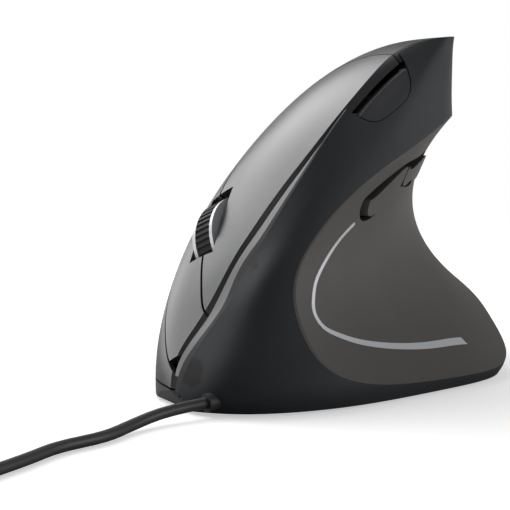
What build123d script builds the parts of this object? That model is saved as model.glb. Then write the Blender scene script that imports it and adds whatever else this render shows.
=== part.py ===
from build123d import *
import math
import os

# Overall size of the body, nose to palm, thumb side to finger side, floor to crest
BODY_LENGTH = 120.0
BODY_WIDTH = 69.0
BODY_HEIGHT = 75.4

# Walls, gaps and layers
FOOT_PROUD = 0.7
COVER_WALL = 1.8
COVER_SINK = 1.0
FRAME_WALL = 1.6
PANEL_WALL = 2.0
PANEL_LIP = 0.4
BAND_WIDTH = 1.5
BAND_DEPTH = 0.5
COVER_GAP = 0.3
CREST_GAP = 0.45
REAR_REACH = 0.6
SEAM_GAP = 0.5
SPLIT_GAP = 0.6
FLOOR_WALL = 2.0
RIM_HEIGHT = 3.2
RIM_GAP = 0.4
ROOF_REACH = 24.0
RAIL_REACH = 9.0

# Thumb scoop, a shallow trough that follows a bend
SCOOP_BEND = 67.6
SCOOP_DEPTH = 22.2
SCOOP_HALF = 44.0
SCOOP_REACH = 110.0
SCOOP_RUN = 90.0

# Wheel
WHEEL_RADIUS = 10.5
WHEEL_SINK = 8.2
TYRE_WIDTH = 4.6
TYRE_DEPTH = 2.2
RIM_WIDTH = 0.9
AXLE_RADIUS = 1.5
TREAD_DEPTH = 0.35
TREAD_COUNT = 48
RUNNING_GAP = 0.06
SLOT_GAP = 0.7

# Button board behind the wheel
BOARD_SINK = 15.5
BOARD_THICK = 1.2
BOARD_WIDTH = 26.0
BOARD_FRONT = 17.5
BOARD_BACK = 21.0

# Small switches
SWITCH_LENGTH = 12.8
SWITCH_WIDTH = 5.8
SWITCH_HEIGHT = 6.5
TACT_SIDE = 6.0
TACT_HEIGHT = 3.8
PLUNGER_SIDE = 2.4
PLUNGER_PROUD = 0.9
PLUNGER_SLACK = 0.08

WHEEL_SWITCH_BACK = 16.0
PIN_RADIUS = 0.9
PIVOT_FRONT = 14.0
PIVOT_SINK = 9.0
CARRIER_WALL = 1.0
CARRIER_SLACK = 0.5
CARRIER_HIGH = 5.5
CARRIER_LOW = 10.6
CARRIER_BACK = 18.5
BAR_FRONT = 13.4
LUG_WALL = 1.0
LUG_HALF = 2.0
LUG_GAP = 0.2
ENCODER_THICK = 3.2
ENCODER_SIDE = 7.6
MOUNT_BAR = 2.0
POST_RADIUS = 1.6
FRAME_CLEAR = 0.6

# Button hinges and posts
HINGE_SINK = 5.8
BARREL_RADIUS = 1.6
BARREL_LENGTH = 6.0
WEB_THICK = 1.2
PUSH_SIDE = 3.0
SWITCH_OUT = 9.0
SWITCH_FRONT = 11.0
PLUNGER_AHEAD = 3.0

# Thumb and resolution buttons
CAP_PROUD = 0.8
CAP_DEPTH = 1.8
STEM_RADIUS = 1.4
SMALL_BOARD_SINK = 10.0
RES_BOARD_WIDTH = 12.0
RES_BOARD_HIGH = 4.0
RES_BOARD_LOW = 4.0
SIDE_BOARD_WIDTH = 32.0
SIDE_BOARD_HIGH = 3.5
SIDE_BOARD_LOW = 11.0
STRIP_PROUD = 0.15
STRIP_DEPTH = 1.0
STRIP_THIN = 0.8
STRIP_THICK = 1.4

# Main board, sensor, screws, feet, gland
MAIN_BOARD_LENGTH = 50.0
MAIN_BOARD_WIDTH = 40.0
MAIN_BOARD_UP = 5.2
SENSOR_LENGTH = 12.0
SENSOR_WIDTH = 10.0
SENSOR_TALL = 3.0
LENS_LENGTH = 16.0
LENS_WIDTH = 12.0
EYE_RADIUS = 3.2
LED_RADIUS = 1.5
LED_LENGTH = 6.0
CHIP_SIDE = 8.0
CHIP_TALL = 1.2
SOCKET_LENGTH = 8.0
SOCKET_WIDTH = 5.0
SOCKET_TALL = 5.0
STAND_RADIUS = 2.4
BOARD_SCREW_RADIUS = 1.0
BOARD_SCREW_HEAD = 1.9
BOARD_SCREW_TALL = 1.3
BOARD_SCREW_LENGTH = 3.2
BOSS_RADIUS = 3.0
SCREW_RADIUS = 1.2
SCREW_HEAD = 2.3
SCREW_HEAD_TALL = 1.3
SCREW_LENGTH = 8.0
SCREW_SINK = 0.3
FOOT_THICK = 0.9
FOOT_LENGTH = 18.0
FOOT_WIDTH = 6.0
GLAND_RADIUS = 1.9
GLAND_INSIDE = 7.0
GLAND_PROUD = 1.2
GLAND_COLLAR = 2.2
COLLAR_START = 2.4
COLLAR_THICK = 1.4

# Cord and plug
CORD_DIAMETER = 2.4
COIL_PITCH = 3.0
COIL_EASE_SHARE = 1.3
LAYER_RISE = 2.95
COIL_OUTER = 24.0
COIL_HALF_TURNS = 12
COIL_TAIL = 20.0
PLUG_LENGTH = 22.0
PLUG_WIDTH = 15.0
SHELL_LENGTH = 16.0
SHELL_WIDTH = 12.0
SHELL_HEIGHT = 4.5
SHELL_WALL = 0.3
TONGUE_THICK = 1.8

os.makedirs("parts", exist_ok=True)


def place(across, along, up):
    """A point given as shares of the body's width, length and height."""
    return Vector(across * BODY_WIDTH, along * BODY_LENGTH, up * BODY_HEIGHT)


def save(name, shape):
    """Write one piece and print its volume."""
    shape.label = name
    export_step(shape, f"parts/{name}.step")
    solids = shape.solids()
    print(f"{name}: {len(solids)} solid, {sum(s.volume for s in solids):.1f} mm3, valid {shape.is_valid}")


def slab(low, high, side):
    """A wide flat block between two heights."""
    return Pos(0, 0, (low + high) / 2) * Box(side, side, high - low)


def largest(shape):
    """The main solid of a shape, without stray slivers."""
    return max(shape.solids(), key=lambda solid: solid.volume)


WIDE = 2 * BODY_LENGTH

# The ridge where the finger side meets the front panel, and the foot of the finger side:
# along, across, up, slope of the finger side at the ridge in degrees, across at the foot
STATION_SHARES = [
    (-0.525, -0.217, -0.119, 52, -0.239),
    (-0.492, -0.212, 0.007, 50, -0.241),
    (-0.451, -0.171, 0.167, 44, -0.270),
    (-0.4125, -0.104, 0.285, 38, -0.328),
    (-0.353, -0.042, 0.439, 32, -0.394),
    (-0.267, 0.041, 0.634, 26, -0.455),
    (-0.187, 0.101, 0.781, 21, -0.487),
    (-0.096, 0.158, 0.899, 16, -0.499),
    (0.005, 0.220, 0.981, 8, -0.501),
    (0.100, 0.220, 0.984, 2, -0.497),
    (0.200, 0.159, 0.875, 4, -0.475),
    (0.292, 0.070, 0.690, 10, -0.428),
    (0.375, -0.038, 0.471, 18, -0.348),
    (0.442, -0.101, 0.239, 28, -0.246),
    (0.4875, -0.145, 0.053, 40, -0.188),
    (0.525, -0.181, -0.106, 45, -0.196),
]
FULL_SHARE = 0.66
CROWN_SHARE = 0.50
LEAN_SHARE = 0.10
FOOT_SHARE = -0.0265
SECTION_POINTS = 14

# Last points of the ridge as the front panel follows it over the crest
CREST_SHARES = [(0.186, -0.041, 0.943), (0.246, 0.027, 0.985), (0.265, 0.038, 1.034)]

# Upright lines of the front panel and thumb side: across and along at base, middle and top
RAIL_SHARES = [
    (-0.051, -0.500, 0.109, -0.267, 0.278, 0.034),
    (0.130, -0.443, 0.196, -0.208, 0.300, 0.043),
    (0.290, -0.321, 0.270, -0.130, 0.312, 0.055),
    (0.429, -0.133, 0.325, -0.035, 0.313, 0.070),
    (0.503, 0.050, 0.325, 0.067, 0.301, 0.088),
    (0.384, 0.217, 0.252, 0.175, 0.275, 0.108),
    (0.203, 0.392, 0.139, 0.265, 0.235, 0.125),
    (-0.116, 0.500, -0.022, 0.337, 0.167, 0.138),
]
RAIL_HEIGHT_SHARES = (0.080, 0.597, 1.0)
LEVEL_SHARES = [-0.106, 0.0, 0.080, 0.186, 0.318, 0.451, 0.584, 0.716, 0.836, 0.928, 1.015]
UNDERCUT_SHARE = 0.072


def run_of(points):
    """Distance along a row of points."""
    total = [0.0]
    for a, b in zip(points, points[1:]):
        total.append(total[-1] + math.dist(a, b))
    return total


def even(points, count):
    """The same line with evenly spaced points."""
    total = run_of(points)
    out = []
    k = 0
    for i in range(count):
        want = total[-1] * i / (count - 1)
        while k < len(points) - 2 and total[k + 1] < want:
            k += 1
        share = (want - total[k]) / (total[k + 1] - total[k])
        out.append(tuple(a + (b - a) * share for a, b in zip(points[k], points[k + 1])))
    return out


def finger_section(across, up, slope, foot, inset):
    """Points of one upright section of the finger side, from below the floor past the ridge."""
    width = across - foot
    start = FOOT_SHARE * BODY_HEIGHT - max(0.0, 0.5 * (3 * abs(FOOT_SHARE) * BODY_HEIGHT - up))
    tall = up - start
    rise = math.radians(slope)
    p0 = (foot + 0.01 * width, start)
    p1 = (p0[0] - LEAN_SHARE * width, p0[1] + FULL_SHARE * tall)
    p3 = (across, up)
    p2 = (p3[0] - CROWN_SHARE * width, p3[1] - CROWN_SHARE * width * math.tan(rise))
    reach = math.dist(p0, p1)
    down = ((p1[0] - p0[0]) / reach, (p1[1] - p0[1]) / reach)
    tail = ROOF_REACH * 0.4
    line = [(p0[0] - down[0] * tail * k, p0[1] - down[1] * tail * k) for k in (1.0, 0.75, 0.5, 0.25)]
    for i in range(61):
        t = i / 60
        u = 1 - t
        weights = (u * u * u, 3 * u * u * t, 3 * u * t * t, t * t * t)
        line.append(tuple(sum(w * p[k] for w, p in zip(weights, (p0, p1, p2, p3))) for k in (0, 1)))
    for i in range(12):
        far = ROOF_REACH * (i + 1) / 12
        line.append((p3[0] + math.cos(rise) * far, p3[1] + math.sin(rise) * far))
    moved = []
    for i, p in enumerate(line):
        a = line[max(0, i - 1)]
        b = line[min(len(line) - 1, i + 1)]
        size = math.dist(a, b)
        moved.append((p[0] + inset * (b[1] - a[1]) / size, p[1] - inset * (b[0] - a[0]) / size))
    return even(moved, SECTION_POINTS)


def finger_side(inset):
    """Everything under the finger side's surface, drawn in by the inset."""
    wires = []
    steps = [i / (SECTION_POINTS - 1) for i in range(SECTION_POINTS)]
    for along, across, up, slope, foot in STATION_SHARES:
        y = along * BODY_LENGTH
        rows = finger_section(across * BODY_WIDTH, up * BODY_HEIGHT, slope, foot * BODY_WIDTH, inset)
        points = [Vector(x, y, z) for x, z in rows]
        right = Vector(points[-1].X + BODY_LENGTH / 2, y, -BODY_LENGTH / 2)
        left = Vector(points[0].X, y, -BODY_LENGTH / 2)
        wires.append(Wire([
            Edge.make_spline(points, parameters=steps),
            Edge.make_line(points[-1], right),
            Edge.make_line(right, left),
            Edge.make_line(left, points[0]),
        ]))
    return Solid.make_loft(wires)


RIDGE = Spline(
    [place(a, b, c) for b, a, c, _, _ in STATION_SHARES[:8]] + [place(*p) for p in CREST_SHARES]
)


def ridge_at(z):
    """The ridge's point at a height."""
    low, high = 0.0, 1.0
    for _ in range(40):
        middle = (low + high) / 2
        if (RIDGE @ middle).Z < z:
            low = middle
        else:
            high = middle
    point = RIDGE @ low
    return point.X, point.Y


def between(share, values):
    """A value at a height share, on the parabola through base, middle and top."""
    a, b, c = RAIL_HEIGHT_SHARES
    base, middle, top = values
    return (
        base * (share - b) * (share - c) / ((a - b) * (a - c))
        + middle * (share - a) * (share - c) / ((b - a) * (b - c))
        + top * (share - a) * (share - b) / ((c - a) * (c - b))
    )


def panel_outline(share, front, rear):
    """Plan outline of the front panel and thumb side at one level, drawn in at front and rear."""
    z = share * BODY_HEIGHT
    xr, yr = ridge_at(z)
    points = [(xr - RAIL_REACH, yr - PANEL_LIP), (xr, yr)]
    base = RAIL_HEIGHT_SHARES[0]
    held = max(share, base)
    low = max(0.0, (base - share) / base)
    tuck = 1 - UNDERCUT_SHARE * low ** 1.3
    for xb, yb, xm, ym, xt, yt in RAIL_SHARES:
        x = between(held, (xb, xm, xt)) * BODY_WIDTH
        y = between(held, (yb, ym, yt)) * BODY_LENGTH
        points.append((x * tuck, y * (1 - (1 - tuck) * 0.35)))
    points.append((-0.435 * BODY_WIDTH, 0.55 * BODY_LENGTH - 0.35 * max(z, 0.0)))
    points.append((-0.84 * BODY_WIDTH, 0.333 * BODY_LENGTH))
    points.append((-0.667 * BODY_WIDTH, yr + RAIL_REACH))
    moved = []
    for i, p in enumerate(points):
        if i > 9:
            moved.append(p)
            continue
        a, b = points[max(i, 1) - 1], points[max(i, 1) + 1]
        size = math.dist(a, b)
        inset = front if i < 7 else rear
        moved.append((p[0] - inset * (b[1] - a[1]) / size, p[1] + inset * (b[0] - a[0]) / size))
    return [Vector(x, y, z) for x, y in moved]


def outline_steps():
    """One spacing for the outlines of every level."""
    rows = [panel_outline(s, 0, 0) for s in (0.08, 0.4, 0.72)]
    mean = [tuple(sum(tuple(r[i])[k] for r in rows) / 3 for k in (0, 1)) for i in range(len(rows[0]))]
    gaps = [math.dist(a, b) ** 0.5 for a, b in zip(mean, mean[1:] + mean[:1])]
    total = run_of([(sum(gaps[:i]), 0.0) for i in range(len(gaps) + 1)])
    return [t / total[-1] for t in total]


STEPS = outline_steps()


def panel_side(front=0.0, rear=0.0, crest=None):
    """Everything behind the front panel and thumb side; crest is the inset near the top."""
    wires = []
    for share in LEVEL_SHARES:
        if crest is None and front > 0 and share > 0.95:
            continue
        inset = front
        if crest is not None:
            fade = min(1.0, max(0.0, (share - 0.62) / 0.2))
            inset = front + (crest - front) * fade
        outline = panel_outline(share, inset, rear)
        wires.append(Wire([Edge.make_spline(outline, periodic=True, parameters=STEPS)]))
    return Solid.make_loft(wires)


SCOOP_START = place(0.161, -0.1, 0.4325)
SCOOP_HEADING = Vector(0.143, 1, 0.13).normalized()
SCOOP_OUT = Vector(SCOOP_HEADING.Y, -SCOOP_HEADING.X, 0).normalized()
SCOOP_UP = SCOOP_OUT.cross(SCOOP_HEADING)


def scoop(grow=0.0):
    """The space that the thumb scoop takes out, made deeper by grow."""
    start = SCOOP_START - SCOOP_OUT * grow
    points = []
    for i in range(12):
        w = SCOOP_HALF * (2 * i / 11 - 1)
        points.append(start + SCOOP_OUT * (w * w / (2 * SCOOP_DEPTH)) + SCOOP_UP * w)
    low, high = points[0], points[-1]
    low_out, high_out = low + SCOOP_OUT * SCOOP_REACH, high + SCOOP_OUT * SCOOP_REACH
    face = Face(Wire([Spline(points), Line(high, high_out), Line(high_out, low_out), Line(low_out, low)]))
    ahead = Solid.extrude(face, SCOOP_HEADING * -SCOOP_RUN)
    axis = Axis(SCOOP_START - SCOOP_OUT * SCOOP_BEND, SCOOP_UP)
    return ahead + Solid.revolve(face, 75, axis)


def facet(point, normal):
    """The half space ahead of a plane, as a block."""
    plane = Plane(origin=point, z_dir=normal)
    return plane * Pos(0, 0, WIDE / 4) * Box(WIDE, WIDE, WIDE / 2)


# Surfaces and layers
finger_outer = finger_side(0.0)
finger_band = finger_side(BAND_DEPTH)
finger_cover = finger_side(COVER_WALL)
finger_frame = finger_side(COVER_WALL + COVER_SINK)
finger_inner = finger_side(COVER_WALL + COVER_SINK + FRAME_WALL)
panel_outer = panel_side()
panel_band = panel_side(PANEL_LIP + BAND_WIDTH - COVER_GAP, 0.0, PANEL_LIP + CREST_GAP - COVER_GAP)
panel_cover = panel_side(PANEL_LIP + BAND_WIDTH, PANEL_LIP + CREST_GAP, PANEL_LIP + CREST_GAP)
panel_inner = panel_side(PANEL_WALL, PANEL_WALL)
scoop_outer = scoop()
scoop_inner = scoop(PANEL_WALL)

FLOOR_LOW = FOOT_PROUD
FLOOR_TOP = FLOOR_LOW + FLOOR_WALL
RIM_TOP = FLOOR_LOW + RIM_HEIGHT
nose_cut = facet(place(-0.171, -0.480, 0), Vector(-0.601, -0.688, -0.407))
envelope = ((finger_outer & panel_outer) & slab(FLOOR_LOW, WIDE, WIDE)) - scoop_outer - nose_cut
core = (envelope & panel_inner) - scoop_inner
print("envelope", envelope.is_valid, envelope.bounding_box(), "core", core.is_valid, core.volume)

# Nose tile edge, a plane across the finger side at the tip
TILE_POINT = place(-0.196, -0.4725, 0.0875)
TILE_NORMAL = Vector(0.314, -0.759, -0.534)
tile_room = facet(TILE_POINT, TILE_NORMAL)
tile_rim = facet(TILE_POINT + TILE_NORMAL * RIM_GAP, TILE_NORMAL)

# Thumb side shell before its openings
crest_room = panel_side(PANEL_LIP, -REAR_REACH, PANEL_LIP)
shell_blank = largest((envelope - (panel_inner - scoop_inner)) - (crest_room - finger_frame))
print("shell", shell_blank.is_valid, shell_blank.volume)

# Covers of the finger side in one blank
covers = ((envelope & panel_cover) - finger_cover) & slab(RIM_TOP + RIM_GAP, WIDE, WIDE)
covers = covers - tile_room
print("covers", covers.is_valid, covers.volume)

# Base with its low rim under the covers
floor_plate = core & slab(FLOOR_LOW, FLOOR_TOP, WIDE)
rim = (core - finger_cover) & (slab(FLOOR_LOW, RIM_TOP, WIDE) + (tile_rim & slab(FLOOR_LOW, 3 * RIM_HEIGHT, WIDE)))
base_shell = floor_plate + rim
print("base", base_shell.is_valid, base_shell.volume)

# Inner frame under the covers
inner_frame = ((core & finger_frame) - finger_inner) & slab(FLOOR_TOP, 0.95 * BODY_HEIGHT, WIDE)
print("frame", inner_frame.is_valid, inner_frame.volume)

# Seam trim in the band
trim_room = Pos(0, -BODY_LENGTH / 4, 0.44 * BODY_HEIGHT) * Box(WIDE, BODY_LENGTH / 2, 0.70 * BODY_HEIGHT)
seam_trim = (((envelope & crest_room) & finger_band) - panel_band - finger_frame) & trim_room
print("trim", seam_trim.is_valid, seam_trim.volume)


def flat_face(curve, corners, turn):
    """A face bounded by a smooth line and straight lines through corners; turn places the points."""
    curve = [turn(*p) for p in curve]
    corners = [turn(*p) for p in corners]
    line = [curve[-1], *corners, curve[0]]
    return Face(Wire([Spline(curve), *[Line(a, b) for a, b in zip(line, line[1:])]]))


# Wheel frame: across along the axle, ahead along the surface, depth below it
WHEEL_SPOT = place(-0.283, -0.2525, 0.471)
WHEEL_OUT = Vector(-0.50, -0.62, 0.60).normalized()
WHEEL_ACROSS = Vector(0.86, -0.315, 0.391)
WHEEL_ACROSS = (WHEEL_ACROSS - WHEEL_OUT * WHEEL_ACROSS.dot(WHEEL_OUT)).normalized()
WHEEL_PLANE = Plane(origin=WHEEL_SPOT, x_dir=WHEEL_ACROSS, z_dir=WHEEL_OUT)

# Seams of the covers: behind the buttons in plan, between them in the wheel frame as
# across and ahead, and below the right one in space
REAR_SHARES = [
    (0.350, -0.085), (0.186, -0.041), (0.117, -0.019), (0.000, 0.007), (-0.290, 0.0375), (-0.650, 0.046),
]
SPLIT_SHARES = [
    (0.108, 0.275), (0.066, 0.228), (0.038, 0.196), (0.024, 0.1525), (0.008, 0.081),
    (0.000, 0.000), (-0.009, -0.084), (-0.0125, -0.206), (-0.0375, -0.315), (-0.055, -0.440),
]
LOW_SHARES = [
    (-0.138, -0.504, 0.069), (-0.196, -0.473, 0.0875), (-0.264, -0.439, 0.105), (-0.303, -0.412, 0.131),
    (-0.341, -0.379, 0.172), (-0.375, -0.325, 0.225), (-0.397, -0.285, 0.268), (-0.426, -0.217, 0.325),
    (-0.449, -0.117, 0.385), (-0.458, 0.000, 0.418), (-0.455, 0.067, 0.430), (-0.449, 0.120, 0.436),
]
LOW_PLANE = Plane(origin=(0, 0, 0), x_dir=(0.336, -0.942, 0), z_dir=(-0.841, -0.300, 0.450))


def seam_prism(points, plane, reach):
    """Everything to one side of a seam drawn in a frame, closed off at the reach."""
    line = [points[-1], points[-1] + reach, points[0] + reach, points[0]]
    face = Face(Wire([Spline(points), *[Line(a, b) for a, b in zip(line, line[1:])]]))
    return plane * Pos(0, 0, -WIDE / 2) * Solid.extrude(face, Vector(0, 0, WIDE))


def split_side(side):
    """One side of the seam between the two buttons."""
    shift = side * SPLIT_GAP / 2
    points = [Vector(u * BODY_LENGTH + shift, -v * BODY_LENGTH) for u, v in SPLIT_SHARES]
    return seam_prism(points, WHEEL_PLANE, Vector(side * WIDE / 2, 0))


def above_low(shift):
    """Everything above the seam under the right button."""
    points = []
    for spot in LOW_SHARES:
        local = LOW_PLANE.to_local_coords(place(*spot))
        points.append(Vector(local.X, local.Y + shift))
    return seam_prism(points, LOW_PLANE, Vector(0, WIDE / 2))


def ahead_of_rear(shift):
    """Everything ahead of the seam behind the buttons."""
    points = [place(x, y, 0) + Vector(0, shift) for x, y in REAR_SHARES]
    return seam_prism(points, Plane.XY, Vector(0, -WIDE / 2))


HALF_SEAM = SEAM_GAP / 2
palm_shell = covers - (ahead_of_rear(HALF_SEAM) & above_low(-HALF_SEAM))
front_covers = (covers & ahead_of_rear(-HALF_SEAM)) & above_low(HALF_SEAM)
left_button = front_covers & split_side(1)
right_button = front_covers & split_side(-1)
print("palm", palm_shell.is_valid, palm_shell.volume, "left", left_button.volume, "right", right_button.volume)

def cell(plane, across, ahead, deep):
    """A block between pairs of limits in a local frame, with depth below its surface."""
    middle = Pos(sum(across) / 2, -sum(ahead) / 2, -sum(deep) / 2)
    return plane * middle * Box(across[1] - across[0], ahead[1] - ahead[0], deep[1] - deep[0])


def rod(plane, across, ahead, deep, radius):
    """A round post along the depth of a local frame."""
    middle = Pos(across, -ahead, -sum(deep) / 2)
    return plane * middle * Cylinder(radius, deep[1] - deep[0])


def cross_rod(plane, across, ahead, deep, radius):
    """A round bar along the frame's width."""
    middle = Pos(sum(across) / 2, -ahead, -deep)
    return plane * middle * Rot(0, 90, 0) * Cylinder(radius, across[1] - across[0])


WHEEL_HALF = TYRE_WIDTH / 2 + RIM_WIDTH
CARRIER_INNER = WHEEL_HALF + CARRIER_SLACK
CARRIER_OUTER = CARRIER_INNER + CARRIER_WALL
hub = cross_rod(WHEEL_PLANE, (-WHEEL_HALF, WHEEL_HALF), 0, WHEEL_SINK, WHEEL_RADIUS - TYRE_DEPTH)
for side in (-1, 1):
    inner, outer = TYRE_WIDTH / 2, WHEEL_HALF
    span = (inner, outer) if side > 0 else (-outer, -inner)
    hub += cross_rod(WHEEL_PLANE, span, 0, WHEEL_SINK, WHEEL_RADIUS)
    dish = (outer - RIM_WIDTH / 2, outer) if side > 0 else (-outer, -outer + RIM_WIDTH / 2)
    hub -= cross_rod(WHEEL_PLANE, dish, 0, WHEEL_SINK, WHEEL_RADIUS - TYRE_DEPTH)
AXLE_ENCODER = CARRIER_OUTER + ENCODER_THICK * 0.8
AXLE_FREE = CARRIER_OUTER + LUG_GAP
hub += cross_rod(WHEEL_PLANE, (-AXLE_ENCODER, AXLE_FREE), 0, WHEEL_SINK, AXLE_RADIUS)
save("wheel_hub", hub)
tyre = cross_rod(WHEEL_PLANE, (-TYRE_WIDTH / 2, TYRE_WIDTH / 2), 0, WHEEL_SINK, WHEEL_RADIUS)
tyre -= cross_rod(WHEEL_PLANE, (-WHEEL_HALF, WHEEL_HALF), 0, WHEEL_SINK, WHEEL_RADIUS - TYRE_DEPTH)
grooves = []
for i in range(TREAD_COUNT):
    turned = WHEEL_PLANE * Pos(0, 0, -WHEEL_SINK) * Rot(360 * i / TREAD_COUNT, 0, 0)
    grooves.append(turned * Pos(0, 0, WHEEL_RADIUS) * Box(TYRE_WIDTH, 2 * TREAD_DEPTH, 2 * TREAD_DEPTH))
tyre = tyre - grooves
save("wheel_tyre", tyre)

# Carrier, its pivot and its support
carrier = cell(WHEEL_PLANE, (-CARRIER_OUTER, CARRIER_OUTER), (-CARRIER_BACK, -BAR_FRONT), (PIVOT_SINK, CARRIER_LOW))
for side in (-1, 1):
    span = sorted((side * CARRIER_INNER, side * CARRIER_OUTER))
    carrier += cell(WHEEL_PLANE, span, (-CARRIER_BACK, PIVOT_FRONT + LUG_HALF), (CARRIER_HIGH, CARRIER_LOW))
BORE_ALL = (-WHEEL_RADIUS, WHEEL_RADIUS)
carrier -= cross_rod(WHEEL_PLANE, BORE_ALL, 0, WHEEL_SINK, AXLE_RADIUS + RUNNING_GAP)
carrier -= cross_rod(WHEEL_PLANE, BORE_ALL, PIVOT_FRONT, PIVOT_SINK, PIN_RADIUS + RUNNING_GAP)
save("wheel_carrier", carrier)
HALF_ENCODER = ENCODER_SIDE / 2
encoder_across = (-CARRIER_OUTER - ENCODER_THICK, -CARRIER_OUTER)
encoder_deep = (WHEEL_SINK - HALF_ENCODER, WHEEL_SINK + HALF_ENCODER)
encoder = cell(WHEEL_PLANE, encoder_across, (-HALF_ENCODER, HALF_ENCODER), encoder_deep)
encoder -= cross_rod(WHEEL_PLANE, BORE_ALL, 0, WHEEL_SINK, AXLE_RADIUS + RUNNING_GAP)
save("wheel_encoder", encoder)
LUG_INNER = CARRIER_OUTER + LUG_GAP
LUG_OUTER = LUG_INNER + LUG_WALL
bar_span = (PIVOT_FRONT + LUG_HALF + LUG_GAP, PIVOT_FRONT + LUG_HALF + LUG_GAP + MOUNT_BAR / 2)
support = cell(WHEEL_PLANE, (-LUG_OUTER, LUG_OUTER), (PIVOT_FRONT - LUG_HALF, bar_span[1]), (BOARD_SINK - MOUNT_BAR, BOARD_SINK))
for side in (-1, 1):
    span = sorted((side * LUG_INNER, side * LUG_OUTER))
    support += cell(WHEEL_PLANE, span, (PIVOT_FRONT - LUG_HALF, PIVOT_FRONT + LUG_HALF), (PIVOT_SINK - LUG_HALF, BOARD_SINK))
support -= cross_rod(WHEEL_PLANE, BORE_ALL, PIVOT_FRONT, PIVOT_SINK, PIN_RADIUS)
save("wheel_support", support)
save("wheel_pivot_pin", cross_rod(WHEEL_PLANE, (-LUG_OUTER, LUG_OUTER), PIVOT_FRONT, PIVOT_SINK, PIN_RADIUS))

# Button board with its slot for the wheel
HALF_BOARD = BOARD_WIDTH / 2
board_deep = (BOARD_SINK, BOARD_SINK + BOARD_THICK)
button_board = cell(WHEEL_PLANE, (-HALF_BOARD, HALF_BOARD), (-BOARD_BACK, BOARD_FRONT), board_deep)
wheel_slot_half = WHEEL_HALF + SLOT_GAP
slot_reach = WHEEL_RADIUS - SLOT_GAP
button_board -= cell(WHEEL_PLANE, (-wheel_slot_half, wheel_slot_half), (-slot_reach, slot_reach), (BOARD_SINK - SLOT_GAP, 2 * BOARD_SINK))
save("button_board", button_board)


def switch_pair(name, plane, across, ahead, board, height, length, width, offset):
    """A switch on a board and its plunger; gives the plunger's top depth."""
    top = board - height
    low = min(height / 2, PLUNGER_PROUD * 2)
    body = cell(plane, (across - width / 2, across + width / 2), (ahead - length / 2, ahead + length / 2), (top, board))
    half = PLUNGER_SIDE / 2
    hole = half + RUNNING_GAP
    at = ahead + offset
    body -= cell(plane, (across - hole, across + hole), (at - hole, at + hole), (top - low, top + low))
    save(name, body)
    plunger_low = top + low - SEAM_GAP - PLUNGER_SLACK
    plunger = cell(plane, (across - half, across + half), (at - half, at + half), (top - PLUNGER_PROUD, plunger_low))
    save(name + "_plunger", plunger)
    return top - PLUNGER_PROUD


def fit(frame, openings):
    """The frame with openings cut out of it."""
    for hole in openings:
        frame = frame - hole
    return frame


openings = []
buttons = {"left_button": left_button, "right_button": right_button}
for name, side in (("left", 1), ("right", -1)):
    across = side * SWITCH_OUT
    top = switch_pair(f"{name}_switch", WHEEL_PLANE, across, SWITCH_FRONT, BOARD_SINK, SWITCH_HEIGHT, SWITCH_LENGTH, SWITCH_WIDTH, PLUNGER_AHEAD)
    at = SWITCH_FRONT + PLUNGER_AHEAD
    half = PUSH_SIDE / 2
    post = cell(WHEEL_PLANE, (across - half, across + half), (at - half, at + half), (-WHEEL_SINK, top - PLUNGER_SLACK))
    buttons[f"{name}_button"] += post & finger_side(COVER_WALL / 2)
    wide = half + FRAME_CLEAR
    openings.append(cell(WHEEL_PLANE, (across - wide, across + wide), (at - wide, at + wide), (-WHEEL_SINK, top)))
    wide = SWITCH_WIDTH / 2 + FRAME_CLEAR
    tall = SWITCH_LENGTH / 2 + FRAME_CLEAR
    span = (SWITCH_FRONT - tall, SWITCH_FRONT + tall)
    openings.append(cell(WHEEL_PLANE, (across - wide, across + wide), span, (top, 2 * BOARD_SINK)))
switch_pair("wheel_switch", WHEEL_PLANE, 0, -WHEEL_SWITCH_BACK, BOARD_SINK, TACT_HEIGHT, TACT_SIDE, TACT_SIDE, 0)
wide = LUG_OUTER + FRAME_CLEAR
openings.append(cell(WHEEL_PLANE, (-wide, wide), (-CARRIER_BACK - FRAME_CLEAR, BOARD_FRONT + FRAME_CLEAR), (-WHEEL_SINK, BOARD_SINK)))
wide = HALF_ENCODER + FRAME_CLEAR
openings.append(cell(WHEEL_PLANE, (encoder_across[0] - FRAME_CLEAR, 0), (-wide, wide), (-WHEEL_SINK, BOARD_SINK)))
wide = HALF_BOARD + FRAME_CLEAR
openings.append(cell(WHEEL_PLANE, (-wide, wide), (-BOARD_BACK - FRAME_CLEAR, BOARD_FRONT + FRAME_CLEAR), (BOARD_SINK - FRAME_CLEAR, BOARD_SINK + BOARD_THICK + FRAME_CLEAR)))

# Slot for the wheel through the two buttons
slot_half = WHEEL_HALF + SLOT_GAP
slot_long = (WHEEL_RADIUS ** 2 - (WHEEL_SINK - COVER_WALL) ** 2) ** 0.5 + SLOT_GAP
wheel_slot = cell(WHEEL_PLANE, (-slot_half, slot_half), (-slot_long, slot_long), (-WHEEL_SINK, WHEEL_SINK))
for name in buttons:
    buttons[name] = buttons[name] - wheel_slot

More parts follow.
